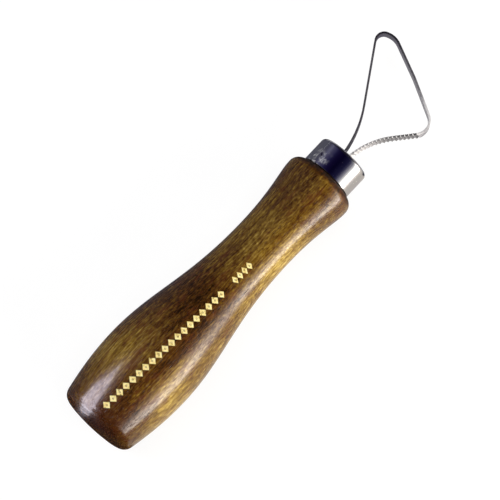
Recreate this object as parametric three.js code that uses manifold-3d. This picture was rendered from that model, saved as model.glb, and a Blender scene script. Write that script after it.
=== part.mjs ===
// Clay loop tool: a turned hardwood handle, a plated ferrule and a bent loop of toothed steel ribbon.
// Millimetres. +X runs along the handle from the butt to the loop, +Z is square to the loop's plane,
// +Y points to the loop's long leg, and the origin is the centre of the flat on the butt.

import * as THREE from 'three';
import { mergeVertices } from 'three/addons/utils/BufferGeometryUtils.js';
import Module from 'manifold-3d';

const wasm = await Module();
wasm.setup();

// Clearances between pieces that touch on the real tool
const SEAT_GAP = 0.3;
const BEDDING_GAP = 0.3;

// Handle, turned about its own axis: butt, bulb, waist, flare and shoulder
const HANDLE_LENGTH = 122.8;
const BUTT_FLAT_RADIUS = 8;
const BUTT_EDGE_RADIUS = 15.5;
const BUTT_EDGE_ROUNDING = 4;
const BUTT_DOME_RISE = 0.45;
const BULB_RADIUS = 18.1;
const BULB_AT = 28.6;
const WAIST_RADIUS = 11.3;
const WAIST_AT = 90.7;
const FLARE_RADIUS = 13.8;
const FLARE_AT = 118.4;
const SHOULDER_ROUNDING = 3.9;

// How far the handles of each curve reach along its run, and how much of its rise the first takes
const QUARTER_ROUND_PULL = 0.55;
const BULB_PULL = { start: 0.25, rise: 0.44, end: 0.42 };
const WAIST_PULL = { start: 0.34, end: 0.47 };
const FLARE_PULL = { start: 0.57, end: 0.17 };

// Ferrule: a drawn cap with its front edge turned in, staked to the tenon by two punched dimples
const FERRULE_RADIUS = 10.3;
const FERRULE_WALL = 0.8;
const FERRULE_LENGTH = 10.6;
const FERRULE_EDGE_ROUNDING = 1.4;
const FERRULE_REAR_ROUNDING = 0.3;
const FERRULE_MOUTH_RADIUS = 6;
const DIMPLE_RADIUS = 0.7;
const DIMPLE_DEPTH = 0.35;
const DIMPLE_FROM_REAR = 4.2;
const DIMPLE_ANGLE = THREE.MathUtils.degToRad(34);
const DIMPLE_COUNT = 2;

// Bore down the tenon for the two tangs, and the cured resin that beds them
const BORE_RADIUS = 4.8;
const BORE_PAST_TANGS = 1.2;
const TENON_CHAMFER = 0.5;

// Steel ribbon: its section, its tangs and the bends of the loop
const RIBBON_WIDTH = 6.35;
const RIBBON_THICKNESS = 0.8;
const BEVEL_WIDTH = 1;
const BEVEL_LAND = 0.3;
const TANG_LENGTH = 28;
const TANG_OFFSET = 0.9;

// Each corner of the loop before bending: reach past the ferrule's mouth, offset from the axis
const LONG_LEG_BEND = { reach: 7.9, radius: 42 };
const TIP_BEND = { reach: 42.5, offset: 23.1, radius: 3.2 };
const TIP_EASE = { reach: 44.9, offset: 16.3, radius: 7 };
const FAR_SIDE_BOW = { reach: 38.3, offset: 1.2, radius: 24 };
const HEEL_BEND = { reach: 28.5, offset: -17.8, radius: 5.4 };
const SHORT_LEG_BEND = { reach: 8.3, radius: 30 };

// Teeth along the short leg: slanted gullets across its outer face that run out at both edges
const TOOTH_PITCH = 1.5;
const TOOTH_COUNT = 17;
const TEETH_FROM_MOUTH = 3.2;
const GULLET_WIDTH = 1.25;
const GULLET_DEPTH = 0.36;
const GULLET_SLANT = THREE.MathUtils.degToRad(16);
const NOTCH_DEPTH = 0.8;
const CUTTER_MARGIN = 0.6;

// Facets
const HANDLE_SEGMENTS = 48;
const HANDLE_CURVE_STEPS = 7;
const FERRULE_SEGMENTS = 60;
const FERRULE_EDGE_STEPS = 3;
const DIMPLE_SEGMENTS = 16;
const BEDDING_SEGMENTS = 32;
const RIBBON_STEP = 0.8;
const PATH_DIVISIONS = 1200;
const MERGE_DISTANCE = 1e-5;

// Places worked out from the sizes above
const ferruleRearX = HANDLE_LENGTH + SEAT_GAP;
const mouthX = ferruleRearX + FERRULE_LENGTH;
const tenonEndX = mouthX - FERRULE_WALL - SEAT_GAP;
const tenonRadius = FERRULE_RADIUS - FERRULE_WALL - SEAT_GAP;
const boreBottomX = mouthX - TANG_LENGTH - BORE_PAST_TANGS;

const woodMaterial = new THREE.MeshStandardMaterial({ color: 0x4a2f16, roughness: 0.35, metalness: 0 });
const nickelMaterial = new THREE.MeshStandardMaterial({ color: 0xc9c9cf, roughness: 0.12, metalness: 1 });
const steelMaterial = new THREE.MeshStandardMaterial({ color: 0x8f8f92, roughness: 0.3, metalness: 1 });
const resinMaterial = new THREE.MeshStandardMaterial({ color: 0xb9a06a, roughness: 0.5, metalness: 0 });

// A solid from any closed geometry: only positions are kept, and triangles with no area go
function solidFrom(geometry) {
  const bare = geometry.clone();
  bare.deleteAttribute('normal');
  bare.deleteAttribute('uv');
  const merged = mergeVertices(bare, MERGE_DISTANCE);
  const corners = merged.index.array;
  const kept = [];
  for (let i = 0; i < corners.length; i += 3) {
    const [a, b, c] = [corners[i], corners[i + 1], corners[i + 2]];
    if (a !== b && b !== c && c !== a) kept.push(a, b, c);
  }
  return new wasm.Manifold(new wasm.Mesh({
    numProp: 3,
    vertProperties: new Float32Array(merged.attributes.position.array),
    triVerts: new Uint32Array(kept),
  }));
}

function geometryFrom(solid) {
  const mesh = solid.getMesh();
  const geometry = new THREE.BufferGeometry();
  geometry.setAttribute('position', new THREE.BufferAttribute(mesh.vertProperties, 3));
  geometry.setIndex(new THREE.BufferAttribute(mesh.triVerts, 1));
  geometry.computeVertexNormals();
  return geometry;
}

function cut(geometry, cutters) {
  const removed = cutters.map(solidFrom).reduce((all, one) => all.add(one));
  return geometryFrom(solidFrom(geometry).subtract(removed));
}

function meshOf(name, geometry, material) {
  const mesh = new THREE.Mesh(geometry, material);
  mesh.name = name;
  return mesh;
}

// Handle profile as (radius, distance from the butt), from the butt's centre to the foot of the bore
function handleGeometry() {
  const profile = new THREE.Path();
  const domeRadius = BUTT_EDGE_RADIUS - BUTT_EDGE_ROUNDING;
  const bulbRun = BULB_AT - BUTT_EDGE_ROUNDING;
  const bulbRise = BULB_RADIUS - BUTT_EDGE_RADIUS;
  const bulbSlope = (bulbRise * BULB_PULL.rise) / (bulbRun * BULB_PULL.start);
  const edgePull = BUTT_EDGE_ROUNDING * QUARTER_ROUND_PULL;
  profile.moveTo(0, 0);
  profile.lineTo(BUTT_FLAT_RADIUS, 0);
  profile.quadraticCurveTo((BUTT_FLAT_RADIUS + domeRadius) / 2, 0, domeRadius, BUTT_DOME_RISE);
  profile.bezierCurveTo(
    domeRadius + edgePull, BUTT_DOME_RISE,
    BUTT_EDGE_RADIUS - bulbSlope * edgePull, BUTT_EDGE_ROUNDING - edgePull,
    BUTT_EDGE_RADIUS, BUTT_EDGE_ROUNDING,
  );
  profile.bezierCurveTo(
    BUTT_EDGE_RADIUS + bulbRise * BULB_PULL.rise, BUTT_EDGE_ROUNDING + bulbRun * BULB_PULL.start,
    BULB_RADIUS, BULB_AT - bulbRun * BULB_PULL.end,
    BULB_RADIUS, BULB_AT,
  );
  const waistRun = WAIST_AT - BULB_AT;
  profile.bezierCurveTo(
    BULB_RADIUS, BULB_AT + waistRun * WAIST_PULL.start,
    WAIST_RADIUS, WAIST_AT - waistRun * WAIST_PULL.end,
    WAIST_RADIUS, WAIST_AT,
  );
  const flareRun = FLARE_AT - WAIST_AT;
  profile.bezierCurveTo(
    WAIST_RADIUS, WAIST_AT + flareRun * FLARE_PULL.start,
    FLARE_RADIUS, FLARE_AT - flareRun * FLARE_PULL.end,
    FLARE_RADIUS, FLARE_AT,
  );
  const roundingFrom = HANDLE_LENGTH - SHOULDER_ROUNDING;
  profile.lineTo(FLARE_RADIUS, roundingFrom);
  profile.absarc(FLARE_RADIUS - SHOULDER_ROUNDING, roundingFrom, SHOULDER_ROUNDING, 0, Math.PI / 2, false);
  profile.lineTo(tenonRadius, HANDLE_LENGTH);
  profile.lineTo(tenonRadius, tenonEndX - TENON_CHAMFER);
  profile.lineTo(tenonRadius - TENON_CHAMFER, tenonEndX);
  profile.lineTo(BORE_RADIUS, tenonEndX);
  profile.lineTo(BORE_RADIUS, boreBottomX);
  profile.lineTo(0, boreBottomX);
  return new THREE.LatheGeometry(profile.getPoints(HANDLE_CURVE_STEPS), HANDLE_SEGMENTS);
}

// Ferrule profile as (radius, distance from its rear edge), a closed ring round the axis
function ferruleGeometry() {
  const inner = FERRULE_RADIUS - FERRULE_WALL;
  const innerRounding = FERRULE_EDGE_ROUNDING - FERRULE_WALL;
  const lipInside = FERRULE_LENGTH - FERRULE_WALL;
  const ring = new THREE.Path();
  ring.moveTo(inner, 0);
  ring.lineTo(FERRULE_RADIUS - FERRULE_REAR_ROUNDING, 0);
  ring.lineTo(FERRULE_RADIUS, FERRULE_REAR_ROUNDING);
  ring.lineTo(FERRULE_RADIUS, FERRULE_LENGTH - FERRULE_EDGE_ROUNDING);
  ring.absarc(
    FERRULE_RADIUS - FERRULE_EDGE_ROUNDING, FERRULE_LENGTH - FERRULE_EDGE_ROUNDING,
    FERRULE_EDGE_ROUNDING, 0, Math.PI / 2, false,
  );
  ring.lineTo(FERRULE_MOUTH_RADIUS, FERRULE_LENGTH);
  ring.lineTo(FERRULE_MOUTH_RADIUS, lipInside);
  ring.lineTo(inner - innerRounding, lipInside);
  ring.lineTo(inner, lipInside - innerRounding);
  ring.lineTo(inner, 0);
  const body = new THREE.LatheGeometry(ring.getPoints(FERRULE_EDGE_STEPS), FERRULE_SEGMENTS);

  const punchRadius = (DIMPLE_RADIUS ** 2 + DIMPLE_DEPTH ** 2) / (2 * DIMPLE_DEPTH);
  const punchCentre = FERRULE_RADIUS - DIMPLE_DEPTH + punchRadius;
  const punches = [];
  for (let i = 0; i < DIMPLE_COUNT; i += 1) {
    const punch = new THREE.SphereGeometry(punchRadius, DIMPLE_SEGMENTS, DIMPLE_SEGMENTS / 2);
    punch.translate(0, DIMPLE_FROM_REAR, punchCentre);
    punch.rotateY(-DIMPLE_ANGLE + (i * 2 * Math.PI) / DIMPLE_COUNT);
    punches.push(punch);
  }
  return cut(body, punches);
}

// Arc in the loop's plane, swept from one angle by another
class PlaneArc extends THREE.Curve {
  constructor(centre, radius, startAngle, sweep) {
    super();
    this.centre = centre;
    this.radius = radius;
    this.startAngle = startAngle;
    this.sweep = sweep;
  }

  getPoint(along, target = new THREE.Vector3()) {
    const angle = this.startAngle + this.sweep * along;
    return target.set(
      this.centre.x + this.radius * Math.cos(angle),
      this.centre.y + this.radius * Math.sin(angle),
      0,
    );
  }
}

// Centreline through the corners, each rounded to its bend radius
function bentPath(corners) {
  const path = new THREE.CurvePath();
  let from = corners[0].at;
  for (let i = 1; i < corners.length - 1; i += 1) {
    const { at, radius } = corners[i];
    const inward = at.clone().sub(corners[i - 1].at).normalize();
    const outward = corners[i + 1].at.clone().sub(at).normalize();
    const turn = Math.atan2(inward.x * outward.y - inward.y * outward.x, inward.dot(outward));
    const setback = radius * Math.tan(Math.abs(turn) / 2);
    const bendStart = at.clone().addScaledVector(inward, -setback);
    const side = Math.sign(turn);
    const toCentre = new THREE.Vector3(-inward.y * side, inward.x * side, 0);
    const centre = bendStart.clone().addScaledVector(toCentre, radius);
    const startAngle = Math.atan2(bendStart.y - centre.y, bendStart.x - centre.x);
    path.add(new THREE.LineCurve3(from, bendStart));
    path.add(new PlaneArc(centre, radius, startAngle, turn));
    from = at.clone().addScaledVector(outward, setback);
  }
  path.add(new THREE.LineCurve3(from, corners[corners.length - 1].at));
  path.arcLengthDivisions = PATH_DIVISIONS;
  return path;
}

// The ribbon's centreline in a frame whose origin is the ferrule's mouth: tang, long leg, tip, far
// side, heel, short leg, tang
function ribbonPath() {
  const corner = (reach, offset, radius) => ({ at: new THREE.Vector3(reach, offset, 0), radius });
  return bentPath([
    corner(-TANG_LENGTH, TANG_OFFSET),
    corner(LONG_LEG_BEND.reach, TANG_OFFSET, LONG_LEG_BEND.radius),
    corner(TIP_BEND.reach, TIP_BEND.offset, TIP_BEND.radius),
    corner(TIP_EASE.reach, TIP_EASE.offset, TIP_EASE.radius),
    corner(FAR_SIDE_BOW.reach, FAR_SIDE_BOW.offset, FAR_SIDE_BOW.radius),
    corner(HEEL_BEND.reach, HEEL_BEND.offset, HEEL_BEND.radius),
    corner(SHORT_LEG_BEND.reach, -TANG_OFFSET, SHORT_LEG_BEND.radius),
    corner(-TANG_LENGTH, -TANG_OFFSET),
  ]);
}

// Section of the ribbon: x runs to the far edge (-Z), y to the outside of the loop. The far edge is
// ground to a bevel on the inside
function ribbonSection() {
  const halfWidth = RIBBON_WIDTH / 2;
  const halfThickness = RIBBON_THICKNESS / 2;
  return new THREE.Shape([
    new THREE.Vector2(-halfWidth, -halfThickness),
    new THREE.Vector2(halfWidth - BEVEL_WIDTH, -halfThickness),
    new THREE.Vector2(halfWidth, halfThickness - BEVEL_LAND),
    new THREE.Vector2(halfWidth, halfThickness),
    new THREE.Vector2(-halfWidth, halfThickness),
  ]);
}

// V-shaped bar along Z, its open side up (+Y) and its keel at y = -depth
function vBar(width, depth, margin, length) {
  const spread = (width / 2) * ((depth + margin) / depth);
  const outline = new THREE.Shape([
    new THREE.Vector2(0, -depth),
    new THREE.Vector2(spread, margin),
    new THREE.Vector2(-spread, margin),
  ]);
  const bar = new THREE.ExtrudeGeometry(outline, { depth: length, bevelEnabled: false });
  return bar.translate(0, 0, -length / 2);
}

// What one pass of the grinding wheel takes out, in the frame of the ribbon's outer face: x along
// the leg, y out of the loop, z across the ribbon
function gulletCutters() {
  const across = RIBBON_WIDTH / Math.cos(GULLET_SLANT) + 2 * CUTTER_MARGIN;
  const gullet = vBar(GULLET_WIDTH, GULLET_DEPTH, CUTTER_MARGIN, across).rotateY(GULLET_SLANT);
  const cutters = [gullet];
  for (const side of [1, -1]) {
    const through = RIBBON_THICKNESS + 2 * CUTTER_MARGIN;
    const notch = vBar(GULLET_WIDTH, NOTCH_DEPTH, CUTTER_MARGIN, through).rotateX((side * Math.PI) / 2);
    const runOut = (side * RIBBON_WIDTH * Math.tan(GULLET_SLANT)) / 2;
    cutters.push(notch.translate(runOut, -RIBBON_THICKNESS / 2, (side * RIBBON_WIDTH) / 2));
  }
  return cutters;
}

function loopBladeGeometry() {
  const path = ribbonPath();
  const length = path.getLength();
  const steps = Math.round(length / RIBBON_STEP);
  const blank = new THREE.ExtrudeGeometry(ribbonSection(), { steps, extrudePath: path });

  const cutters = [];
  for (let i = 0; i < TOOTH_COUNT; i += 1) {
    const fromEnd = TANG_LENGTH + TEETH_FROM_MOUTH + i * TOOTH_PITCH;
    const along = 1 - fromEnd / length;
    const tangent = path.getTangentAt(along);
    const outward = new THREE.Vector3(-tangent.y, tangent.x, 0);
    const onFace = path.getPointAt(along).addScaledVector(outward, RIBBON_THICKNESS / 2);
    const place = new THREE.Matrix4().makeBasis(tangent, outward, new THREE.Vector3(0, 0, 1));
    place.setPosition(onFace);
    for (const cutter of gulletCutters()) cutters.push(cutter.applyMatrix4(place));
  }
  return cut(blank, cutters);
}

// Resin cast round the tangs: a plug that fills the bore, open at the front where the tangs go in
function tangBeddingGeometry() {
  const front = tenonEndX - SEAT_GAP - mouthX;
  const back = boreBottomX + BEDDING_GAP - mouthX;
  const plug = new THREE.CylinderGeometry(
    BORE_RADIUS - BEDDING_GAP, BORE_RADIUS - BEDDING_GAP, front - back, BEDDING_SEGMENTS,
  );
  plug.rotateZ(-Math.PI / 2).translate((front + back) / 2, 0, 0);
  const slots = [1, -1].map((side) => {
    const slotBack = -TANG_LENGTH - BEDDING_GAP;
    const slotFront = front + CUTTER_MARGIN;
    const slot = new THREE.BoxGeometry(
      slotFront - slotBack, RIBBON_THICKNESS + 2 * BEDDING_GAP, RIBBON_WIDTH + 2 * BEDDING_GAP,
    );
    return slot.translate((slotFront + slotBack) / 2, side * TANG_OFFSET, 0);
  });
  return cut(plug, slots);
}

const tool = new THREE.Group();
tool.name = 'loop_tool';

// Turned pieces are made about +Y, and this group lays that axis along +X
const turned = new THREE.Group();
turned.rotation.z = -Math.PI / 2;
tool.add(turned);
turned.add(meshOf('handle', handleGeometry(), woodMaterial));
const ferrule = meshOf('ferrule', ferruleGeometry(), nickelMaterial);
ferrule.position.y = ferruleRearX;
turned.add(ferrule);

// What leaves the ferrule is placed from its mouth
const head = new THREE.Group();
head.position.x = mouthX;
tool.add(head);
head.add(meshOf('loop_blade', loopBladeGeometry(), steelMaterial));
head.add(meshOf('tang_bedding', tangBeddingGeometry(), resinMaterial));

export default tool;
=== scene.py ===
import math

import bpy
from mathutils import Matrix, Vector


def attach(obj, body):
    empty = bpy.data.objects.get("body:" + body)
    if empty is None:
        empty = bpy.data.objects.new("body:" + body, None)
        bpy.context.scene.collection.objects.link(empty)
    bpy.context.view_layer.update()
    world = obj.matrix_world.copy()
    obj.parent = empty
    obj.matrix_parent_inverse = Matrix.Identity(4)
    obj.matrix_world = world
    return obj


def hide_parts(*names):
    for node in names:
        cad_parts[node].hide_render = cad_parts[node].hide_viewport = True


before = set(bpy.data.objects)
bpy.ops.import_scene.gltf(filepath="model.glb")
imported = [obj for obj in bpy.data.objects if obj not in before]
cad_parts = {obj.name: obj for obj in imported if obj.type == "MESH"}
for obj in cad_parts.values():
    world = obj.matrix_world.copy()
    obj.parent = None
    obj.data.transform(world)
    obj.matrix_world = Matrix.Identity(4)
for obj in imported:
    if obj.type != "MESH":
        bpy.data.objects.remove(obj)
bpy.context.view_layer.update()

# Clay loop tool: the looks of the turned handle, the plated ferrule and the toothed ribbon loop.
# Metres, in the frame of the CAD: +X from the butt to the loop, +Z square to the loop's plane, +Y to
# the loop's long leg.

MM = 0.001
SCENE = bpy.context.scene

# Handle: from the flat butt over the bulb, in to the waist, out to the flare, and the tenon past it
HANDLE_LENGTH = 122.8
BUTT_FLAT_RADIUS = 8
BUTT_EDGE_RADIUS = 15.5
BUTT_EDGE_ROUNDING = 4
BUTT_DOME_RISE = 0.45
BULB_RADIUS = 18.1
BULB_AT = 28.6
WAIST_RADIUS = 11.3
WAIST_AT = 90.7
FLARE_RADIUS = 13.8
FLARE_AT = 118.4
SHOULDER_ROUNDING = 3.9
TENON_RADIUS = 9.2
TENON_CHAMFER = 0.5
TENON_END = 132.6
BORE_RADIUS = 4.8
BORE_BOTTOM = 104.5

# How far the handles of each curve reach along its run, and how much of its rise the first takes
QUARTER_ROUND_PULL = 0.55
BULB_PULL_START = 0.25
BULB_PULL_RISE = 0.44
BULB_PULL_END = 0.42
WAIST_PULL_START = 0.34
WAIST_PULL_END = 0.47
FLARE_PULL_START = 0.57
FLARE_PULL_END = 0.17

# Ferrule: a drawn cap with its front edge turned in, and a punched dimple on either side
FERRULE_REAR = 123.1
FERRULE_LENGTH = 10.6
FERRULE_RADIUS = 10.3
FERRULE_WALL = 0.8
FERRULE_EDGE_ROUNDING = 1.4
FERRULE_REAR_ROUNDING = 0.3
FERRULE_MOUTH_RADIUS = 6
FERRULE_MOUTH_ROUNDING = 0.25
DIMPLE_RADIUS = 0.7
DIMPLE_DEPTH = 0.35
DIMPLE_FROM_REAR = 4.2
DIMPLE_ANGLE = 34

# Ribbon, and the loop's corners as (reach past the ferrule, offset from the axis, bend radius)
MOUTH = FERRULE_REAR + FERRULE_LENGTH
RIBBON_WIDTH = 6.35
RIBBON_THICKNESS = 0.8
BEVEL_WIDTH = 1
BEVEL_LAND = 0.3
RIBBON_EDGE_EASE = 0.07
TANG_LENGTH = 28
TANG_OFFSET = 0.9
LOOP_CORNERS = [
    (-TANG_LENGTH, TANG_OFFSET, 0),
    (7.9, TANG_OFFSET, 42),
    (42.5, 23.1, 3.2),
    (44.9, 16.3, 7),
    (38.3, 1.2, 24),
    (28.5, -17.8, 5.4),
    (8.3, -TANG_OFFSET, 30),
    (-TANG_LENGTH, -TANG_OFFSET, 0),
]
TOOTH_PITCH = 1.5
TOOTH_COUNT = 17
TEETH_FROM_MOUTH = 3.2
GULLET_WIDTH = 1.25
GULLET_DEPTH = 0.36
GULLET_SLANT = 16
NOTCH_DEPTH = 0.8
CUTTER_MARGIN = 0.6

# The first teeth past the mouth are cut less deep, the first of all by this much
FADED_TEETH = 5
FADED_LIFT = 0.17

# Facets
HANDLE_SEGMENTS = 128
BUTT_FLAT_STEPS = 4
BUTT_DOME_STEPS = 8
BUTT_EDGE_STEPS = 12
BULB_STEPS = 18
WAIST_STEPS = 36
FLARE_STEPS = 20
SHOULDER_STEPS = 14
FERRULE_SEGMENTS = 192
FERRULE_WALL_STEPS = 8
FERRULE_EDGE_STEPS = 10
FERRULE_REAR_STEPS = 4
FERRULE_MOUTH_STEPS = 3
DIMPLE_SEGMENTS = 48
DIMPLE_RINGS = 32
CENTRELINE_STEP = 0.25
BEND_STEP = math.radians(3)
MERGE = 1e-6

# Spin turns the other way round its axis than a rotation does
SPIN_SIGN = -1

# Faces that meet at less than this many degrees are shaded as one smooth surface
HANDLE_CREASE = 40
FERRULE_CREASE = 32
LOOP_CREASE = 30


# Modelling steps shared by the pieces

def deselect_all():
    bpy.ops.object.select_all(action="DESELECT")


def pick(piece):
    deselect_all()
    bpy.context.view_layer.objects.active = piece
    piece.select_set(True)


def end_edit():
    bpy.ops.object.mode_set(mode="OBJECT")


# A chain of vertices through the points, drawn one after the other
def draw_chain(name, points):
    deselect_all()
    bpy.ops.mesh.primitive_plane_add(size=MM)
    piece = bpy.context.object
    piece.name = name
    piece.data.name = name
    bpy.ops.object.mode_set(mode="EDIT")
    bpy.ops.mesh.select_all(action="SELECT")
    bpy.ops.mesh.merge(type="CENTER")
    bpy.ops.transform.translate(value=points[0])
    for here, there in zip(points, points[1:]):
        bpy.ops.mesh.extrude_vertices_move(TRANSFORM_OT_translate={"value": there - here})
    bpy.ops.mesh.select_all(action="SELECT")
    return piece


# A piece turned on the lathe about +X, from its outline as (distance along, radius) in millimetres
def turn(name, outline, segments):
    points = [Vector((along * MM, 0, radius * MM)) for along, radius in outline]
    piece = draw_chain(name, points)
    bpy.ops.mesh.spin(steps=segments, angle=math.tau, center=(0, 0, 0), axis=(1, 0, 0))
    bpy.ops.mesh.select_all(action="SELECT")
    bpy.ops.mesh.remove_doubles(threshold=MERGE)
    bpy.ops.mesh.normals_make_consistent(inside=False)
    end_edit()
    return piece


def smooth(piece, crease):
    pick(piece)
    bpy.ops.object.shade_smooth_by_angle(angle=math.radians(crease))


# The cut faces take the cutter's finish, and the cutter is used up
def carve(piece, cutter):
    tool = piece.modifiers.new("Cut", "BOOLEAN")
    tool.object = cutter
    tool.operation = "DIFFERENCE"
    tool.solver = "EXACT"
    tool.use_self = True
    tool.material_mode = "TRANSFER"
    pick(piece)
    bpy.ops.object.modifier_apply(modifier=tool.name)
    bpy.data.objects.remove(cutter)


# Points of outlines, in millimetres

# A curve from start to end, drawn towards its two handles. The start itself is left out
def bezier(start, handle_a, handle_b, end, steps):
    corners = (start, handle_a, handle_b, end)
    points = []
    for i in range(1, steps + 1):
        t = i / steps
        weights = ((1 - t) ** 3, 3 * t * (1 - t) ** 2, 3 * t * t * (1 - t), t**3)
        points.append(tuple(sum(w * c[k] for w, c in zip(weights, corners)) for k in (0, 1)))
    return points


# Quarter round that starts on an outline running along +X and turns in towards the axis
def round_over(along, radius, rounding, steps):
    turns = [math.pi / 2 * i / steps for i in range(1, steps + 1)]
    return [
        (along + rounding * math.sin(a), radius - rounding + rounding * math.cos(a)) for a in turns
    ]


def straight(start, end, steps):
    return [
        tuple(start[k] + (end[k] - start[k]) * i / steps for k in (0, 1))
        for i in range(1, steps + 1)
    ]


# Handle, which is turned in one piece with its tenon and bored for the tangs
def turn_handle(finish):
    dome_radius = BUTT_EDGE_RADIUS - BUTT_EDGE_ROUNDING
    bulb_run = BULB_AT - BUTT_EDGE_ROUNDING
    bulb_rise = BULB_RADIUS - BUTT_EDGE_RADIUS
    bulb_slope = bulb_rise * BULB_PULL_RISE / (bulb_run * BULB_PULL_START)
    edge_pull = BUTT_EDGE_ROUNDING * QUARTER_ROUND_PULL
    waist_run = WAIST_AT - BULB_AT
    flare_run = FLARE_AT - WAIST_AT
    flat = (0, BUTT_FLAT_RADIUS)
    dome = (BUTT_DOME_RISE, dome_radius)
    edge = (BUTT_EDGE_ROUNDING, BUTT_EDGE_RADIUS)
    bulb = (BULB_AT, BULB_RADIUS)
    waist = (WAIST_AT, WAIST_RADIUS)
    flare = (FLARE_AT, FLARE_RADIUS)
    middle = (BUTT_FLAT_RADIUS + dome_radius) / 2
    outline = [(0, 0), *straight((0, 0), flat, BUTT_FLAT_STEPS)]
    outline += bezier(
        flat,
        (0, BUTT_FLAT_RADIUS + (middle - BUTT_FLAT_RADIUS) * 2 / 3),
        (BUTT_DOME_RISE / 3, dome_radius + (middle - dome_radius) * 2 / 3),
        dome,
        BUTT_DOME_STEPS,
    )
    outline += bezier(
        dome,
        (BUTT_DOME_RISE, dome_radius + edge_pull),
        (BUTT_EDGE_ROUNDING - edge_pull, BUTT_EDGE_RADIUS - bulb_slope * edge_pull),
        edge,
        BUTT_EDGE_STEPS,
    )
    outline += bezier(
        edge,
        (
            BUTT_EDGE_ROUNDING + bulb_run * BULB_PULL_START,
            BUTT_EDGE_RADIUS + bulb_rise * BULB_PULL_RISE,
        ),
        (BULB_AT - bulb_run * BULB_PULL_END, BULB_RADIUS),
        bulb,
        BULB_STEPS,
    )
    outline += bezier(
        bulb,
        (BULB_AT + waist_run * WAIST_PULL_START, BULB_RADIUS),
        (WAIST_AT - waist_run * WAIST_PULL_END, WAIST_RADIUS),
        waist,
        WAIST_STEPS,
    )
    outline += bezier(
        waist,
        (WAIST_AT + flare_run * FLARE_PULL_START, WAIST_RADIUS),
        (FLARE_AT - flare_run * FLARE_PULL_END, FLARE_RADIUS),
        flare,
        FLARE_STEPS,
    )
    rounding_from = HANDLE_LENGTH - SHOULDER_ROUNDING
    outline += straight(flare, (rounding_from, FLARE_RADIUS), 2)
    outline += round_over(rounding_from, FLARE_RADIUS, SHOULDER_ROUNDING, SHOULDER_STEPS)
    outline += [
        (HANDLE_LENGTH, TENON_RADIUS),
        (TENON_END - TENON_CHAMFER, TENON_RADIUS),
        (TENON_END, TENON_RADIUS - TENON_CHAMFER),
        (TENON_END, BORE_RADIUS),
        (BORE_BOTTOM, BORE_RADIUS),
        (BORE_BOTTOM, 0),
    ]
    handle = turn("turned_handle", outline, HANDLE_SEGMENTS)
    handle.data.materials.append(finish)
    smooth(handle, HANDLE_CREASE)
    return handle


# Ferrule, drawn from its rear edge over the outside to the mouth and back along the inside
def press_ferrule(finish):
    inner = FERRULE_RADIUS - FERRULE_WALL
    inner_rounding = FERRULE_EDGE_ROUNDING - FERRULE_WALL
    lip_inside = MOUTH - FERRULE_WALL
    rear = (FERRULE_REAR + FERRULE_REAR_ROUNDING, FERRULE_RADIUS)
    wall_end = (MOUTH - FERRULE_EDGE_ROUNDING, FERRULE_RADIUS)
    mouth_edge = MOUTH - FERRULE_MOUTH_ROUNDING
    face_radius = FERRULE_MOUTH_RADIUS + FERRULE_MOUTH_ROUNDING
    outline = [(FERRULE_REAR, inner)]
    rear_turns = [
        math.pi / 2 * i / FERRULE_REAR_STEPS for i in range(FERRULE_REAR_STEPS + 1)
    ]
    outline += [
        (
            rear[0] - FERRULE_REAR_ROUNDING * math.cos(a),
            FERRULE_RADIUS - FERRULE_REAR_ROUNDING + FERRULE_REAR_ROUNDING * math.sin(a),
        )
        for a in rear_turns
    ]
    outline += straight(rear, wall_end, FERRULE_WALL_STEPS)
    outline += round_over(*wall_end, FERRULE_EDGE_ROUNDING, FERRULE_EDGE_STEPS)
    outline += [(MOUTH, face_radius)]
    mouth_turns = round_over(mouth_edge, face_radius, -FERRULE_MOUTH_ROUNDING, FERRULE_MOUTH_STEPS)
    outline += mouth_turns[::-1][1:]
    outline += [
        (mouth_edge, FERRULE_MOUTH_RADIUS),
        (lip_inside, FERRULE_MOUTH_RADIUS),
        (lip_inside, inner - inner_rounding),
        (lip_inside - inner_rounding, inner),
        (FERRULE_REAR, inner),
    ]
    ferrule = turn("plated_ferrule", outline, FERRULE_SEGMENTS)
    ferrule.data.materials.append(finish)
    punch_radius = (DIMPLE_RADIUS**2 + DIMPLE_DEPTH**2) / (2 * DIMPLE_DEPTH)
    reach = (FERRULE_RADIUS - DIMPLE_DEPTH + punch_radius) * MM
    for turned_by in (DIMPLE_ANGLE, DIMPLE_ANGLE + 180):
        angle = math.radians(turned_by)
        deselect_all()
        bpy.ops.mesh.primitive_uv_sphere_add(
            segments=DIMPLE_SEGMENTS,
            ring_count=DIMPLE_RINGS,
            radius=punch_radius * MM,
            location=(
                (FERRULE_REAR + DIMPLE_FROM_REAR) * MM,
                reach * math.sin(angle),
                reach * math.cos(angle),
            ),
        )
        punch = bpy.context.object
        punch.data.materials.append(finish)
        carve(ferrule, punch)
    smooth(ferrule, FERRULE_CREASE)
    return ferrule


# Loop: a strip drawn through its bends, straight runs extruded and each bend spun about its centre

def loop_runs():
    corners = [Vector((MOUTH + reach, offset, 0)) * MM for reach, offset, _ in LOOP_CORNERS]
    runs = []
    start = corners[0]
    for i in range(1, len(corners) - 1):
        radius = LOOP_CORNERS[i][2] * MM
        inward = (corners[i] - corners[i - 1]).normalized()
        outward = (corners[i + 1] - corners[i]).normalized()
        turn_by = math.atan2(inward.cross(outward).z, inward.dot(outward))
        setback = radius * math.tan(abs(turn_by) / 2)
        bend_start = corners[i] - inward * setback
        side = math.copysign(1, turn_by)
        centre = bend_start + Vector((-inward.y, inward.x, 0)) * side * radius
        runs.append(("straight", start, bend_start))
        runs.append(("bend", bend_start, centre, turn_by))
        start = corners[i] + outward * setback
    runs.append(("straight", start, corners[-1]))
    return runs


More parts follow.
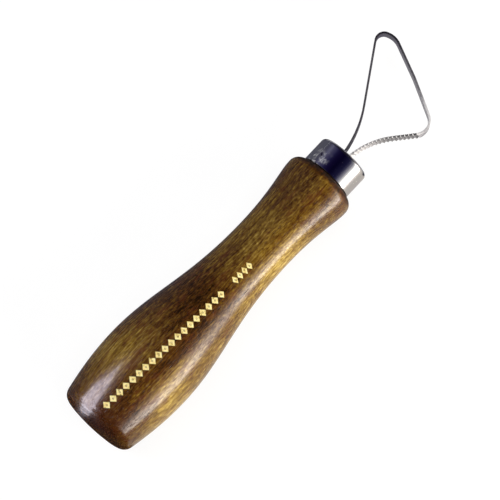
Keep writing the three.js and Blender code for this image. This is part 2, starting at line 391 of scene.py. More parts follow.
# The centreline as close points, and how far along each one is
def loop_centreline(runs):
    points = []
    for run in runs:
        if run[0] == "straight":
            _, start, end = run
            steps = max(2, round((end - start).length / (CENTRELINE_STEP * MM)))
            points += [start.lerp(end, i / steps) for i in range(steps)]
        else:
            _, start, centre, turn_by = run
            arm = start - centre
            steps = max(2, round(arm.length * abs(turn_by) / (CENTRELINE_STEP * MM)))
            points += [
                centre + Matrix.Rotation(turn_by * i / steps, 3, "Z") @ arm for i in range(steps)
            ]
    points.append(runs[-1][2])
    reach = [0.0]
    for here, there in zip(points, points[1:]):
        reach.append(reach[-1] + (there - here).length)
    return points, reach


def point_along(points, reach, distance):
    for i in range(len(points) - 1):
        if reach[i + 1] >= distance:
            share = (distance - reach[i]) / (reach[i + 1] - reach[i])
            return points[i].lerp(points[i + 1], share), (points[i + 1] - points[i]).normalized()
    return points[-1], (points[-1] - points[-2]).normalized()


def draw_strip(runs):
    half_width = RIBBON_WIDTH / 2
    half_thickness = RIBBON_THICKNESS / 2
    section = [
        (-half_thickness, half_width),
        (-half_thickness, BEVEL_WIDTH - half_width),
        (half_thickness - BEVEL_LAND, -half_width),
        (half_thickness, -half_width),
        (half_thickness, half_width),
    ]
    start = runs[0][1]
    points = [start + Vector((0, out, across)) * MM for out, across in section]
    strip = draw_chain("ribbon_loop", points)
    bpy.ops.mesh.edge_face_add()
    bpy.ops.mesh.bevel(
        offset=RIBBON_EDGE_EASE * MM, segments=2, affect="VERTICES", offset_type="OFFSET"
    )
    bpy.ops.mesh.select_all(action="SELECT")
    for run in runs:
        if run[0] == "straight":
            move = run[2] - run[1]
            bpy.ops.mesh.extrude_region_move(TRANSFORM_OT_translate={"value": move})
        else:
            _, _, centre, turn_by = run
            steps = max(2, math.ceil(abs(turn_by) / BEND_STEP))
            bpy.ops.mesh.spin(
                steps=steps,
                angle=turn_by * SPIN_SIGN,
                center=centre,
                axis=(0, 0, 1),
                use_auto_merge=False,
            )
    bpy.ops.mesh.select_all(action="SELECT")
    bpy.ops.mesh.remove_doubles(threshold=MERGE)
    bpy.ops.mesh.normals_make_consistent(inside=False)
    end_edit()
    return strip


# A V-shaped bar along Z with its keel at -depth on Y
def v_bar(name, width, depth, length):
    spread = (width / 2) * (depth + CUTTER_MARGIN) / depth
    outline = [(0, -depth), (spread, CUTTER_MARGIN), (-spread, CUTTER_MARGIN)]
    points = [Vector((x, y, -length / 2)) * MM for x, y in outline]
    bar = draw_chain(name, points)
    bpy.ops.mesh.edge_face_add()
    bpy.ops.mesh.select_all(action="SELECT")
    bpy.ops.mesh.extrude_region_move(TRANSFORM_OT_translate={"value": (0, 0, length * MM)})
    bpy.ops.mesh.select_all(action="SELECT")
    bpy.ops.mesh.normals_make_consistent(inside=False)
    end_edit()
    return bar


# Each tooth gap is a gullet across the outer face, with a notch where it runs out at either edge
def grind_teeth(strip, points, reach, gullet_finish):
    slant = math.radians(GULLET_SLANT)
    across = RIBBON_WIDTH / math.cos(slant) + 2 * CUTTER_MARGIN
    gullet = v_bar("gullet_cutter", GULLET_WIDTH, GULLET_DEPTH, across)
    notch = v_bar("notch_cutter", GULLET_WIDTH, NOTCH_DEPTH, RIBBON_THICKNESS + 2 * CUTTER_MARGIN)
    length = reach[-1]
    copies = []
    for i in range(TOOTH_COUNT):
        from_end = (TANG_LENGTH + TEETH_FROM_MOUTH + i * TOOTH_PITCH) * MM
        at, tangent = point_along(points, reach, length - from_end)
        outward = Vector((-tangent.y, tangent.x, 0))
        lift = FADED_LIFT * max(0, 1 - i / FADED_TEETH)
        face = at + outward * (RIBBON_THICKNESS / 2 + lift) * MM
        place = Matrix((tangent, outward, (0, 0, 1))).transposed().to_4x4()
        place.translation = face
        wanted = [(gullet, place @ Matrix.Rotation(slant, 4, "Y"))]
        for side in (1, -1):
            run_out = side * RIBBON_WIDTH * math.tan(slant) / 2
            shift = Vector((run_out, -RIBBON_THICKNESS / 2 - lift, side * RIBBON_WIDTH / 2)) * MM
            turned = Matrix.Rotation(side * math.pi / 2, 4, "X")
            wanted.append((notch, place @ Matrix.Translation(shift) @ turned))
        for model, matrix in wanted:
            copy = model.copy()
            copy.data = model.data.copy()
            SCENE.collection.objects.link(copy)
            copy.data.transform(matrix)
            copies.append(copy)
    for model in (gullet, notch):
        bpy.data.objects.remove(model)
    deselect_all()
    for copy in copies:
        copy.select_set(True)
    bpy.context.view_layer.objects.active = copies[0]
    bpy.ops.object.join()
    cutter = copies[0]
    cutter.data.materials.append(gullet_finish)
    carve(strip, cutter)


# How far along the ribbon each vertex lies, for its finish
def mark_run(strip, points, reach):
    run = strip.data.attributes.new("run", "FLOAT", "POINT")
    for vertex in strip.data.vertices:
        flat = Vector((vertex.co.x, vertex.co.y, 0))
        nearest = min(range(len(points)), key=lambda i: (points[i] - flat).length_squared)
        run.data[vertex.index].value = reach[nearest]


# Finishes

class Wire:
    """A socket of a finish, on which sums are written as usual."""

    def __init__(self, finish, socket):
        self.finish = finish
        self.socket = socket

    def sum(self, operation, *values):
        return self.finish.node("ShaderNodeMath", {"operation": operation}, dict(enumerate(values)))

    def __add__(self, other):
        return self.sum("ADD", self, other)

    def __radd__(self, other):
        return self.sum("ADD", other, self)

    def __sub__(self, other):
        return self.sum("SUBTRACT", self, other)

    def __rsub__(self, other):
        return self.sum("SUBTRACT", other, self)

    def __mul__(self, other):
        return self.sum("MULTIPLY", self, other)

    def __rmul__(self, other):
        return self.sum("MULTIPLY", other, self)

    def __truediv__(self, other):
        return self.sum("DIVIDE", self, other)

    def __pow__(self, other):
        return self.sum("POWER", self, other)

    def __mod__(self, other):
        return self.sum("FLOORED_MODULO", self, other)

    def __abs__(self):
        return self.sum("ABSOLUTE", self)

    def root(self):
        return self.sum("SQRT", self)

    def above(self, other):
        return self.sum("GREATER_THAN", self, other)

    def below(self, other):
        return self.sum("LESS_THAN", self, other)

    def larger(self, other):
        return self.sum("MAXIMUM", self, other)

    def smaller(self, other):
        return self.sum("MINIMUM", self, other)

    # 0 at one value, 1 at the other, eased between them
    def eased(self, low, high):
        settings = {"interpolation_type": "SMOOTHSTEP", "clamp": True}
        sockets = {"Value": self, "From Min": low, "From Max": high}
        return self.finish.node("ShaderNodeMapRange", settings, sockets)

    # The angle round +X, from straight up towards +Y, of a point at this Y and the given Z
    def angle_from(self, z):
        return self.sum("ARCTAN2", self, z)


# A colour given as a screen shows it, each part from 0 to 255
def paint(red, green, blue):
    shares = [c / 255 for c in (red, green, blue)]
    return (*(s / 12.92 if s <= 0.04045 else ((s + 0.055) / 1.055) ** 2.4 for s in shares), 1)


def grey(level):
    return (level, level, level, 1)


def set_stops(ramp, stops):
    while len(ramp.elements) < len(stops):
        ramp.elements.new(1)
    while len(ramp.elements) > len(stops):
        ramp.elements.remove(ramp.elements[-1])
    for element, (position, colour) in zip(ramp.elements, stops):
        element.position = position
        element.color = colour


class Finish:
    """A material, its shader and the nodes that feed it."""

    def __init__(self, name):
        self.material = bpy.data.materials.new(name)
        self.material.use_nodes = True
        self.tree = self.material.node_tree
        self.shader = self.tree.nodes["Principled BSDF"]
        self.result = self.tree.nodes["Material Output"]

    def node(self, kind, settings=None, sockets=None, output=0):
        made = self.tree.nodes.new(kind)
        for key, value in (settings or {}).items():
            if key == "stops":
                set_stops(made.color_ramp, value)
            else:
                setattr(made, key, value)
        self.feed(made, sockets or {})
        return Wire(self, made.outputs[output])

    def feed(self, made, sockets):
        for key, value in sockets.items():
            if isinstance(value, Wire):
                self.tree.links.new(value.socket, made.inputs[key])
            else:
                made.inputs[key].default_value = value

    def coordinates(self, scale=(1, 1, 1), shift=(0, 0, 0)):
        place = self.node("ShaderNodeTexCoord", output="Object")
        sockets = {"Vector": place, "Scale": scale, "Location": shift}
        return self.node("ShaderNodeMapping", None, sockets)

    def xyz(self, vector):
        return [
            self.node("ShaderNodeSeparateXYZ", None, {"Vector": vector}, axis) for axis in range(3)
        ]

    def noise(self, vector, detail=3, roughness=0.55):
        sockets = {"Vector": vector, "Scale": 1, "Detail": detail, "Roughness": roughness}
        return self.node("ShaderNodeTexNoise", None, sockets)

    def ramp(self, factor, stops):
        return self.node("ShaderNodeValToRGB", {"stops": stops}, {"Fac": factor})

    def mix(self, factor, first, second):
        settings = {"data_type": "RGBA", "clamp_factor": True}
        return self.node("ShaderNodeMix", settings, {0: factor, 6: first, 7: second}, 2)

    def bump(self, height, distance):
        sockets = {"Height": height, "Distance": distance, "Strength": 1}
        return self.node("ShaderNodeBump", None, sockets)

    # Nothing but light of its own, which lights no other piece as a lamp would
    def glow(self, colour, strength):
        light = self.node("ShaderNodeEmission", None, {"Color": colour, "Strength": strength})
        self.feed(self.result, {"Surface": light})
        self.material.cycles.emission_sampling = "NONE"
        return self.material


# Stained hardwood under gloss lacquer, with a stamped row of gold foil lozenges. Each row of foil is
# given as (from, to, lozenges), and it winds a little round the handle on its way to the waist

FOIL_ROWS = ((4.7, 65.5, 19), (70.2, 80.0, 4))
FOIL_ANGLE_AT_BUTT = -1.4
FOIL_ANGLE_AT_END = -15
FOIL_HEIGHT = 3.3
FOIL_FILL = 2.25
FOIL_STROKE = 0.36
FOIL_HEART = 0.16

# The pith lies outside the handle, so the rings cross it as shallow arcs
PITH_Y = 31
PITH_Z = -22
RING_SPACING = 2.7
RING_WANDER = 7

# How light the stain is along the handle, by share of its length. The last stop is painted shade
# on the shoulder, where it meets the ferrule
STAIN_TONE_AND_SHOULDER_SHADE = [
    (0.0, 0.2),
    (0.04, 0.26),
    (0.1, 0.32),
    (0.18, 0.48),
    (0.23, 0.45),
    (0.32, 0.32),
    (0.48, 0.29),
    (0.6, 0.4),
    (0.78, 0.54),
    (0.88, 0.46),
    (0.976, 0.42),
    # Painted shade on the shoulder, next to the ferrule
    (0.992, 0.0),
]

# How much lighter it is on the butt's left; on the right side up to the flare it is painted light
# where the key lamp falls, and on the bulb's right a painted highlight
LEFT_LIGHT = 0.22
RIGHT_SIDE_PAINTED_LIGHT = 0.34
BULB_PAINTED_HIGHLIGHT = 0.22

# The stain from its darkest to its lightest, by tone, which also carries the painted light and shade
STAIN_COLOURS = [
    (0.0, paint(28, 13, 0)),
    (0.3, paint(72, 41, 2)),
    (0.5, paint(101, 72, 10)),
    (0.72, paint(137, 107, 34)),
    (1.0, paint(200, 170, 84)),
]

# The lacquer ends short of the shoulder, between these places
LACQUER_ENDS = (119.2, 121.4)


def foil_mask(x, radius, angle):
    first, last = FOIL_ROWS[0][0], FOIL_ROWS[-1][1]
    share = (x - first * MM) * (1 / ((last - first) * MM))
    drift = math.radians(FOIL_ANGLE_AT_END - FOIL_ANGLE_AT_BUTT)
    aim = share * drift + math.radians(FOIL_ANGLE_AT_BUTT)
    across = abs((angle - aim) * radius * (2 / (FOIL_HEIGHT * MM)))
    mask = None
    for row_start, row_end, count in FOIL_ROWS:
        pitch = (row_end - row_start) / count * MM
        along = abs((((x - row_start * MM) * (1 / pitch)) % 1) - 0.5) * FOIL_FILL
        reach = along + across
        lozenge = reach.below(1) * reach.above(1 - 2 * FOIL_STROKE)
        heart = reach.below(FOIL_HEART)
        inside = x.above(row_start * MM) * x.below(row_end * MM)
        row = lozenge.larger(heart) * inside
        mask = row if mask is None else mask.larger(row)
    return mask


def stained_wood():
    wood = Finish("stained_lacquered_hardwood")
    place = wood.coordinates()
    x, y, z = wood.xyz(place)
    radius = (y * y + z * z).root()
    angle = y.angle_from(z)
    drift = wood.noise(wood.coordinates((22, 90, 90)), detail=2)
    pith_y = y - PITH_Y * MM
    pith_z = z - PITH_Z * MM
    depth = (pith_y * pith_y + pith_z * pith_z).root() + (drift - 0.5) * (RING_WANDER * MM)
    ring = (depth * (1 / (RING_SPACING * MM))) % 1
    late = ring.eased(0.45, 0.95) * (1 - ring.eased(0.95, 1))
    streak = wood.noise(wood.coordinates((70, 1500, 1500)), detail=4, roughness=0.62)
    fleck = wood.noise(wood.coordinates((260, 3600, 3600), shift=(3, 1, 2)), detail=2)
    pore = fleck.eased(0.6, 0.72)
    cloud = wood.noise(wood.coordinates((30, 110, 110), shift=(1, 5, 2)), detail=3)

    tone_and_shoulder_shade = [(at, grey(level)) for at, level in STAIN_TONE_AND_SHOULDER_SHADE]
    along = wood.ramp(x * (1 / (HANDLE_LENGTH * MM)), tone_and_shoulder_shade)
    mottle = wood.noise(wood.coordinates((480, 1250, 1250), shift=(7, 3, 1)), detail=4, roughness=0.7)
    left = angle.eased(0.1, 0.34) * (1 - angle.eased(0.55, 0.95) * 0.4)
    left = left * (1 - x.eased(34 * MM, 54 * MM)) * LEFT_LIGHT
    # Painted light on the right side, where the key lamp falls
    right = (1 - angle.eased(-1.1, -0.55)) * (1 - x.eased(86 * MM, 110 * MM) * 0.9) * RIGHT_SIDE_PAINTED_LIGHT
    # Painted highlight on the bulb's right, widening the key lamp's reflection
    bulb = x.eased(18 * MM, 26 * MM) * (1 - x.eased(38 * MM, 52 * MM))
    bulb = bulb * angle.eased(-1.0, -0.68) * (1 - angle.eased(-0.68, -0.44)) * BULB_PAINTED_HIGHLIGHT
    off_butt = x.eased(0.3 * MM, 3 * MM)
    grain = (streak - 0.5) * 0.6 + (mottle - 0.5) * 1.45 + (cloud - 0.5) * 0.65
    grain = grain * (0.45 + off_butt * 0.55)
    tone = along + grain - late * 0.1 + left + right + bulb
    colour = wood.ramp(tone, STAIN_COLOURS)
    hue = wood.noise(wood.coordinates((130, 420, 420), shift=(9, 4, 6)), detail=3)
    colour = wood.mix(hue.eased(0.5, 0.68) * 0.4, colour, paint(92, 44, 14))
    red_end = (1 - x.eased(1 * MM, 17 * MM)) * (1 - angle.eased(0.35, 0.7) * 0.6)
    colour = wood.mix(red_end * 0.6, colour, paint(62, 28, 12))
    colour = wood.mix(pore * 0.45, colour, paint(34, 17, 5))

    foil = foil_mask(x, radius, angle)
    worn = wood.noise(wood.coordinates((900, 900, 900), shift=(2, 2, 2)), detail=3)
    foil = foil * (1 - worn.eased(0.6, 0.68) * 0.75)
    gold = wood.ramp(worn, [(0.35, paint(255, 244, 180)), (0.62, paint(236, 212, 128))])
    colour = wood.mix(foil, colour, gold)
    relief = (streak - 0.5) * 0.5 + (mottle - 0.5) * 0.4 - pore * 0.5 - foil * 0.8
    relief = relief * (0.25 + off_butt * 0.75)
    shiny = 1 - x.eased(*(at * MM for at in LACQUER_ENDS))
    wood.feed(
        wood.shader,
        {
            "Base Color": colour,
            "Roughness": 0.2 + streak * 0.14 + foil * 0.1 + (1 - shiny) * 0.35,
            "Metallic": foil * 0.15,
            "IOR": 1.5,
            "Coat Weight": (0.22 + mottle.eased(0.38, 0.6) * 0.6 - pore * 0.2) * shiny,
            "Coat Roughness": 0.1,
            "Coat IOR": 1.5,
            "Normal": wood.bump(relief, 0.06 * MM),
        },
    )
    return wood.material


# Polished nickel plate: faint swirls from buffing, specks, soft waves and a haze on the rear left

def nickel_plate():
    nickel = Finish("polished_nickel_plate")
    swirl = nickel.noise(nickel.coordinates((2600, 300, 300)), detail=3)
    wave = nickel.noise(nickel.coordinates((160, 160, 160), shift=(4, 2, 7)), detail=2)
    spot = nickel.noise(nickel.coordinates((900, 900, 900)), detail=4).eased(0.6, 0.75)
    tint = nickel.ramp(wave, [(0.3, paint(222, 222, 228)), (0.7, paint(238, 236, 234))])
    colour = nickel.mix(spot * 0.3, tint, paint(150, 146, 150))
    x, y, z = nickel.xyz(nickel.coordinates())
    angle = y.angle_from(z)
    blot = nickel.noise(nickel.coordinates((480, 560, 560), shift=(1, 6, 3)), detail=2)
    haze = blot.eased(0.46, 0.62) * (1 - x.eased(125.5 * MM, 130 * MM))
    haze = haze * angle.eased(0.15, 0.45) * (1 - angle.eased(0.85, 1.15))
    nickel.feed(
        nickel.shader,
        {
            "Base Color": colour,
            "Metallic": 1 - haze * 0.45,
            "Roughness": 0.07 + swirl * 0.06 + spot * 0.05 + haze * 0.1,
            "Normal": nickel.bump(wave * 0.25 + swirl * 0.01, 0.05 * MM),
        },
    )
    return nickel.material


# Ground spring steel: grinding lines along the ribbon, light stain and specks. Its paleness and
# matt look are painted light and reflection, set by the millimetres along the ribbon from the end of
# the long leg's tang

STEEL_PAINTED_LIGHT = [
    (0, 0.18),
    (66, 0.18),
    (75, 0.04),
    (82, 0.05),
    (90, 0.16),
    (98, 0.26),
    (106, 0.38),
    (113, 0.46),
    (119, 0.42),
    (123, 0.64),
    (133, 0.72),
    (138, 0.92),
    (143, 1.0),
]

# The upper rim of the short leg is painted paler, as painted light. Each pair says where that begins
# and where it is full: in from the rim, and along the ribbon
RIM_EDGES = (0.5, 0.15)
RIM_STRETCH = (100, 112)
RIM_PAINTED_LIGHT = 0.35

# The darkest and the palest steel, on the ground faces and in the gullets, and how fast each darkens.
# The palest is a painted reflection, and the gullets are darker, partly patina and partly painted
# shade
FACE_STEEL = (paint(112, 109, 120), paint(252, 251, 250), 1)
GULLET_STEEL = (paint(20, 20, 22), paint(196, 194, 196), 1.95)


def ground_steel(name, dark, pale, fade, length):
    steel = Finish(name)
    run = steel.node("ShaderNodeAttribute", {"attribute_name": "run"}, None, "Fac")
    stops = [(at * MM / length, grey(level)) for at, level in STEEL_PAINTED_LIGHT]
    # Painted light and reflection along the ribbon
    light = steel.ramp(run * (1 / length), stops) ** fade
    x, y, z = steel.xyz(steel.coordinates())
    # Painted light on the short leg's upper rim
    rim = z.eased(*((RIBBON_WIDTH / 2 - edge) * MM for edge in RIM_EDGES))
    rim = rim * run.eased(*(at * MM for at in RIM_STRETCH))
    light = (light + rim * (RIM_PAINTED_LIGHT / fade**2)).smaller(1)
    lay = steel.node("ShaderNodeCombineXYZ", None, {"X": run * 160, "Y": z * 5200, "Z": (x + y) * 300})
    line = steel.noise(lay, detail=4, roughness=0.65)
    stain = steel.noise(steel.coordinates((210, 210, 210), shift=(3, 8, 1)), detail=4)
    speck = steel.noise(steel.coordinates((1700, 1700, 1700), shift=(5, 1, 4)), detail=2)
    colour = steel.mix(light * 0.85 + (line - 0.5) * 0.5 + (stain - 0.5) * 0.3, dark, pale)
    colour = steel.mix(stain.eased(0.55, 0.72) * 0.3, colour, paint(70, 62, 66))
    colour = steel.mix(speck.eased(0.66, 0.74) * 0.6, colour, paint(38, 34, 38))
    steel.feed(
        steel.shader,
        {
            "Base Color": colour,
            "Metallic": 0.95 - light * 0.93,
            "Roughness": 0.12 + light * 0.2 + line * 0.12 + stain.eased(0.5, 0.7) * 0.1,
            "Normal": steel.bump(line - speck.eased(0.66, 0.74) * 0.8, 0.012 * MM),
        },
    )
    return steel.material


# Cast resin round the tangs: slightly cloudy, with a skin from curing

def cast_resin():
    resin = Finish("cast_resin")
    cloud = resin.noise(resin.coordinates((420, 420, 420)), detail=3)
    grit = resin.noise(resin.coordinates((2600, 2600, 2600)), detail=2)
    colour = resin.ramp(cloud, [(0.3, paint(124, 98, 56)), (0.7, paint(164, 136, 84))])
    resin.feed(
        resin.shader,
        {
            "Base Color": resin.mix(grit.eased(0.6, 0.75) * 0.4, colour, paint(88, 66, 36)),
            "Roughness": 0.38 + cloud * 0.25,
            "Normal": resin.bump(cloud + grit * 0.3, 0.08 * MM),
        },
    )
    return resin.material


# Assembly

def fit_piece(piece, node):
    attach(piece, "root")
    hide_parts(node)


# One strip, bent first and its teeth ground afterwards
def bend_loop():
    runs = loop_runs()
    points, reach = loop_centreline(runs)
    loop = draw_strip(runs)
    length = reach[-1]
    face_steel = ground_steel("ground_spring_steel", *FACE_STEEL, length)
    # The gullets' steel is darker, partly patina and partly painted shade
    gullet_steel = ground_steel("steel_in_the_gullets", *GULLET_STEEL, length)
    loop.data.materials.append(face_steel)
    grind_teeth(loop, points, reach, gullet_steel)
    mark_run(loop, points, reach)
    smooth(loop, LOOP_CREASE)
    return loop


def cast_bedding():
    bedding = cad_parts["tang_bedding"]
    bedding.data.materials.clear()
    bedding.data.materials.append(cast_resin())


fit_piece(turn_handle(stained_wood()), "handle")
fit_piece(press_ferrule(nickel_plate()), "ferrule")
fit_piece(bend_loop(), "loop_blade")
cast_bedding()


# Camera: a long lens, looking down from above the butt

CAMERA_AT = Vector((-344.7, -295.3, 2444.0)) * MM
CAMERA_RIGHT = Vector((0.6751, -0.7372, 0.0290)).normalized()
CAMERA_BACK = Vector((-0.1720, -0.1190, 0.9779)).normalized()
PICTURE_WIDTH = 179.6 * MM
PICTURE_AWAY = 2.5
SENSOR_WIDTH = 36.0


def set_camera():
    lens = bpy.data.cameras.new("camera")
    lens.sensor_width = SENSOR_WIDTH
    lens.lens = SENSOR_WIDTH * PICTURE_AWAY / PICTURE_WIDTH
    lens.dof.use_dof = False
    camera = bpy.data.objects.new("camera", lens)
    SCENE.collection.objects.link(camera)
    up = CAMERA_BACK.cross(CAMERA_RIGHT).normalized()
    right = up.cross(CAMERA_BACK)
    pose = Matrix((right, up, CAMERA_BACK)).transposed().to_4x4()
    pose.translation = CAMERA_AT
    camera.matrix_world = pose
    SCENE.camera = camera


set_camera()


# Floor: white, touching the bulb and the flare, on which the tool lies

FLOOR_SIZE = 5
FLOOR_LEAN = math.atan2(BULB_RADIUS - FLARE_RADIUS, FLARE_AT - BULB_AT)
FLOOR_GLOW = 1.08
FLOOR_GLOW_SHARE = 0.8


# To the camera and in reflections it is mostly white light, and the rest keeps the tool's shadow
def white_floor_finish():
    floor = Finish("white_floor")
    mottle = floor.noise(floor.coordinates((40, 40, 40)), detail=3)
    colour = floor.ramp(mottle, [(0.3, grey(0.86)), (0.7, grey(0.9))])
    floor.feed(floor.shader, {"Base Color": colour, "Roughness": 0.9, "Specular IOR Level": 0.1})
    seen = floor.node("ShaderNodeLightPath", None, None, "Is Camera Ray")
    for kind in ("Is Glossy Ray", "Is Transmission Ray"):
        seen = seen + floor.node("ShaderNodeLightPath", None, None, kind)
    glow = floor.node("ShaderNodeEmission", None, {"Color": grey(1), "Strength": FLOOR_GLOW})
    lit = Wire(floor, floor.shader.outputs[0])
    share = seen.smaller(1) * FLOOR_GLOW_SHARE
    both = floor.node("ShaderNodeMixShader", None, {0: share, 1: lit, 2: glow})
    floor.feed(floor.result, {"Surface": both})
    return floor.material


def lay_floor():
    deselect_all()
    bpy.ops.mesh.primitive_plane_add(size=FLOOR_SIZE)
    floor = bpy.context.object
    floor.name = "floor"
    floor.rotation_euler = (0, -FLOOR_LEAN, 0)
    touch_x = BULB_AT + BULB_RADIUS * math.sin(FLOOR_LEAN)
    touch_z = -BULB_RADIUS * math.cos(FLOOR_LEAN)
    floor.location = Vector((touch_x, 0, touch_z)) * MM
    floor.data.materials.append(white_floor_finish())


lay_floor()


# What only reflections see: a room round the tool, and cards on the floor beside it. Their glow is
# painted reflection, and the dark cards under and behind the butt are painted shade

ROOM_AT = (0.09, 0, 0)
ROOM_RADIUS = 1.4
ROOM_GLOW = 9.0
ROOM_ENDS = (0.014, 0.012, 0.020)

# Towards the loop's end the light is turned by this many degrees, which moves the ferrule's bands
ROOM_TURN = 9

# Light in the room by direction round the handle: degrees from straight up, right of the handle first
ROOM_LIGHT = [
    (-170, (0.47, 0.43, 0.41)),
    (-120, (0.56, 0.53, 0.49)),
    (-112, (0.66, 0.61, 0.56)),
    (-107, (0.95, 0.88, 0.80)),
    (-102, (1.8, 1.7, 1.5)),
    (-97, (7.0, 6.5, 6.0)),
    (-84, (9.0, 8.5, 7.9)),
    (-70, (3.0, 2.9, 2.7)),
    (-61, (0.80, 0.79, 0.74)),
    (-52, (0.29, 0.28, 0.32)),
    (-40, (0.050, 0.047, 0.090)),
    (-31, (0.011, 0.010, 0.038)),
    (-3, (0.002, 0.001, 0.013)),
    (17, (0.005, 0.003, 0.024)),
    (30, (0.011, 0.009, 0.042)),
    (38, (0.030, 0.028, 0.076)),
    (51, (0.060, 0.056, 0.110)),
    (61, (0.120, 0.120, 0.190)),
    (76, (0.066, 0.063, 0.100)),
    (106, (0.097, 0.099, 0.120)),
    (170, (0.090, 0.090, 0.110)),
]


# A light as the colour to give at the strength of the whole room or card
def glow_at(colour, strength):
    return (*(c / strength for c in colour), 1)


def room_finish():
    room = Finish("reflected_room")
    x, y, z = room.xyz(room.coordinates((1 / ROOM_RADIUS,) * 3))
    turned = y.angle_from(z) * math.degrees(1) - x.eased(0.2, 0.42) * ROOM_TURN
    stops = [((at + 180) / 360, glow_at(colour, ROOM_GLOW)) for at, colour in ROOM_LIGHT]
    light = room.ramp((turned + 180) * (1 / 360), stops)
    within = x.eased(-0.32, -0.14) * (1 - x.eased(0.3, 0.44) * 0.6) * (1 - x.eased(0.62, 0.8))
    light = room.mix(within, glow_at(ROOM_ENDS, ROOM_GLOW), light)
    return room.glow(light, ROOM_GLOW)


# A card's light, its stops in millimetres from the edge with the lowest X or Y
def card_finish(name, size, stops, axis, strength):
    card = Finish(name)
    along = (card.xyz(card.coordinates())[axis] + 0.5) * size
    end = max(stops[-1][0], 1)
    light = card.ramp(along / end, [(at / end, glow_at(colour, strength)) for at, colour in stops])
    return card.glow(light, strength)


def only_in_reflections(card):
    card.visible_camera = False
    card.visible_diffuse = False
    card.visible_transmission = False
    card.visible_volume_scatter = False
    card.visible_shadow = False


# The window, near the butt: its corners on a plane of its own, as millimetres sideways and up
WINDOW_AT = Vector((-42, 195, 166))
WINDOW_SIDE = Vector((-0.949, -0.316, 0))
WINDOW_UP = Vector((0.195, -0.585, 0.788))
WINDOW_CORNERS = [
    (-61, 53),
    (-36, -5),
    (-30, -73),
    (60, -120),
    (253, -250),
    (331, -270),
    (640, -330),
    (640, -250),
    (436, -167),
    (199, 28),
    (184, 94),
    (33, 111),
    (-6, 87),
]

WINDOW_COLOUR = (0.92, 0.87, 1, 1)
WINDOW_GLOW = 8.0

# Its light on the floor behind the butt, and the bright strip beyond
WINDOW_ON_FLOOR = [(-5, 6), (-4, 9), (-10, 12), (-29, 18), (-29, 9.5), (-15, 7)]
WINDOW_ON_FLOOR_GLOW = 1.2
WINDOW_BEYOND = [(-29, 9.5), (-29, 18), (-500, 370), (-500, 120)]
WINDOW_BEYOND_GLOW = 6.0

# A dark shade that stands square to the tool, left of the bulb, so that only the butt's end sees the
# window. Its corners are across and up
SHADE_X = 33
SHADE_CORNERS = [(19, -13), (300, -13), (300, 300), (19, 300)]
SHADE_COLOUR = (0.6, 0.6, 1, 1)
SHADE_GLOW = 0.1

# Heights over the floor, in millimetres, so that no two cards lie in the same place
UNDER_LAYER = 0.3
UPPER_LAYER = 0.6
WINDOW_LAYER = 0.9

KEY_LIGHT_GLOW = 7


# Where the floor lies below a point of the tool's middle line
def floor_height(x):
    return -BULB_RADIUS / math.cos(FLOOR_LEAN) + (x - BULB_AT) * math.tan(FLOOR_LEAN)


def glowing_sheet(name, points, strength, colour=WINDOW_COLOUR):
    sheet = draw_chain(name, [point * MM for point in points])
    bpy.ops.mesh.edge_face_add()
    end_edit()
    sheet.data.materials.append(Finish(name).glow(colour, strength))
    only_in_reflections(sheet)


# A card on the floor from one corner to the other, in millimetres, lifted a little
def floor_card(name, corner, other, lift, stops, axis=0, strength=1):
    deselect_all()
    bpy.ops.mesh.primitive_plane_add(size=1)
    card = bpy.context.object
    card.name = name
    middle = [(a + b) / 2 for a, b in zip(corner, other)]
    height = floor_height(middle[0]) + lift
    card.location = Vector((*middle, height)) * MM
    card.rotation_euler = (0, -FLOOR_LEAN, 0)
    size = [abs(b - a) for a, b in zip(corner, other)]
    card.scale = (size[0] * MM, size[1] * MM, 1)
    card.data.materials.append(card_finish(name, size[axis], stops, axis, strength))
    only_in_reflections(card)


def close_room():
    deselect_all()
    bpy.ops.mesh.primitive_uv_sphere_add(
        segments=96, ring_count=48, radius=ROOM_RADIUS, location=ROOM_AT
    )
    room = bpy.context.object
    room.name = "reflected_room"
    room.data.materials.append(room_finish())
    only_in_reflections(room)


def lay_cards():
    left = [(0, (0.09, 0.09, 0.115))]
    floor_card("left_floor_card", (-1000, 14), (1100, 1000), UNDER_LAYER, left)
    right = [(0, (0.55, 0.51, 0.47))]
    floor_card("right_floor_card", (-1000, -1000), (1100, -14), UNDER_LAYER, right)
    key_light = [
        (0, (6.4, 6.0, 5.5)),
        (567, (2.6, 2.4, 2.2)),
        (784, (1.3, 1.22, 1.12)),
        (879, (0.84, 0.78, 0.72)),
        (945, (0.58, 0.54, 0.5)),
    ]
    floor_card(
        "key_light_on_the_floor",
        (115, -1000),
        (330, -55),
        UPPER_LAYER,
        key_light,
        axis=1,
        strength=KEY_LIGHT_GLOW,
    )
    # Painted shade under and behind the butt, seen only in reflections
    under_butt = [(0, (0.022, 0.012, 0.014))]
    floor_card("card_under_the_butt", (-2300, -26), (6, 26), UPPER_LAYER, under_butt)
    behind_butt = [(0, (0.03, 0.02, 0.02))]
    floor_card("card_behind_the_butt", (-2300, -1000), (-3, -26), UPPER_LAYER, behind_butt)
    under_loop = [
        (0, (0.03, 0.028, 0.045)),
        (5, (0.08, 0.08, 0.1)),
        (13.5, (0.5, 0.49, 0.5)),
        (31, (0.42, 0.41, 0.43)),
        (40.5, (0.2, 0.19, 0.24)),
        (48, (0.1, 0.095, 0.13)),
    ]
    floor_card("card_under_the_loop", (138, -34), (1100, 34), UPPER_LAYER, under_loop)


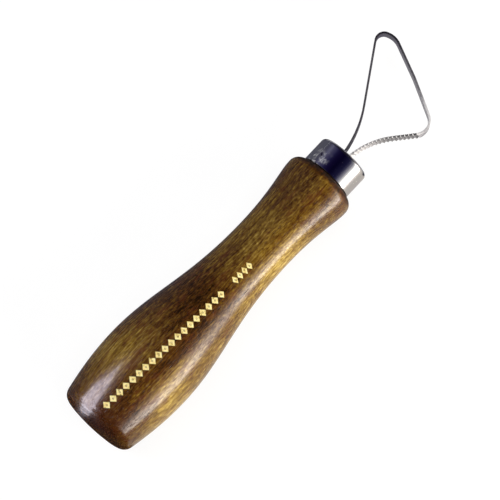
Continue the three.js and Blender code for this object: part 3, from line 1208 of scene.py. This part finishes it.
def open_window():
    corners = [WINDOW_AT + WINDOW_SIDE * a + WINDOW_UP * b for a, b in WINDOW_CORNERS]
    glowing_sheet("window_pane", corners, WINDOW_GLOW)
    for name, outline, strength in (
        ("window_on_the_floor", WINDOW_ON_FLOOR, WINDOW_ON_FLOOR_GLOW),
        ("window_beyond", WINDOW_BEYOND, WINDOW_BEYOND_GLOW),
    ):
        points = [Vector((x, y, floor_height(x) + WINDOW_LAYER)) for x, y in outline]
        glowing_sheet(name, points, strength)
    shade = [Vector((SHADE_X, y, z)) for y, z in SHADE_CORNERS]
    glowing_sheet("shade_by_the_window", shade, SHADE_GLOW, SHADE_COLOUR)


close_room()
lay_cards()
open_window()


# Lamps

def softbox(name, aim, direction, distance, width, height, radiance, colour, level=(0, 0, 1)):
    lamp = bpy.data.lights.new(name, "AREA")
    lamp.shape = "RECTANGLE"
    lamp.size = width
    lamp.size_y = height
    lamp.energy = radiance * math.pi * width * height
    lamp.color = colour
    fixture = bpy.data.objects.new(name, lamp)
    SCENE.collection.objects.link(fixture)
    back = Vector(direction).normalized()
    side = Vector(level).cross(back).normalized()
    turned = Matrix((side, back.cross(side), back)).transposed().to_4x4()
    turned.translation = aim + back * distance
    fixture.matrix_world = turned
    fixture.visible_camera = False
    fixture.visible_glossy = False


# Each lamp: what it aims at, the direction it hangs in, how far off, width, height, light and colour
def hang_lamps():
    middle = Vector((80, 0, 0)) * MM
    softbox("key_softbox", middle, (0.266, -0.933, 0.26), 0.6, 0.85, 0.32, 7.5, (1.0, 0.94, 0.86))
    softbox("window", middle, (-0.4, 0.5, 0.77), 1.0, 0.33, 0.36, 5.0, (0.96, 0.95, 1.0))
    softbox("overhead_fill", middle, (0, 0.15, 1), 1.1, 1.4, 1.4, 1.5, (1.0, 1.0, 1.0), (0, 1, 0))


WORLD_ON_TOOL = 0.12
WORLD_SEEN = 1.0


# White behind everything, for the camera, gloss and glass, and only a little light on the tool
def light_world():
    world = bpy.data.worlds.new("studio")
    SCENE.world = world
    world.use_nodes = True
    sky = world.node_tree
    backdrop = sky.nodes["Background"]
    path = sky.nodes.new("ShaderNodeLightPath")
    seen = path.outputs["Is Camera Ray"]
    for kind in ("Is Glossy Ray", "Is Transmission Ray"):
        either = sky.nodes.new("ShaderNodeMath")
        either.operation = "MAXIMUM"
        sky.links.new(seen, either.inputs[0])
        sky.links.new(path.outputs[kind], either.inputs[1])
        seen = either.outputs[0]
    level = sky.nodes.new("ShaderNodeMapRange")
    level.inputs["To Min"].default_value = WORLD_ON_TOOL
    level.inputs["To Max"].default_value = WORLD_SEEN
    sky.links.new(seen, level.inputs["Value"])
    sky.links.new(level.outputs["Result"], backdrop.inputs["Strength"])
    backdrop.inputs["Color"].default_value = grey(1)


hang_lamps()
light_world()
SCENE.view_settings.view_transform = "Standard"
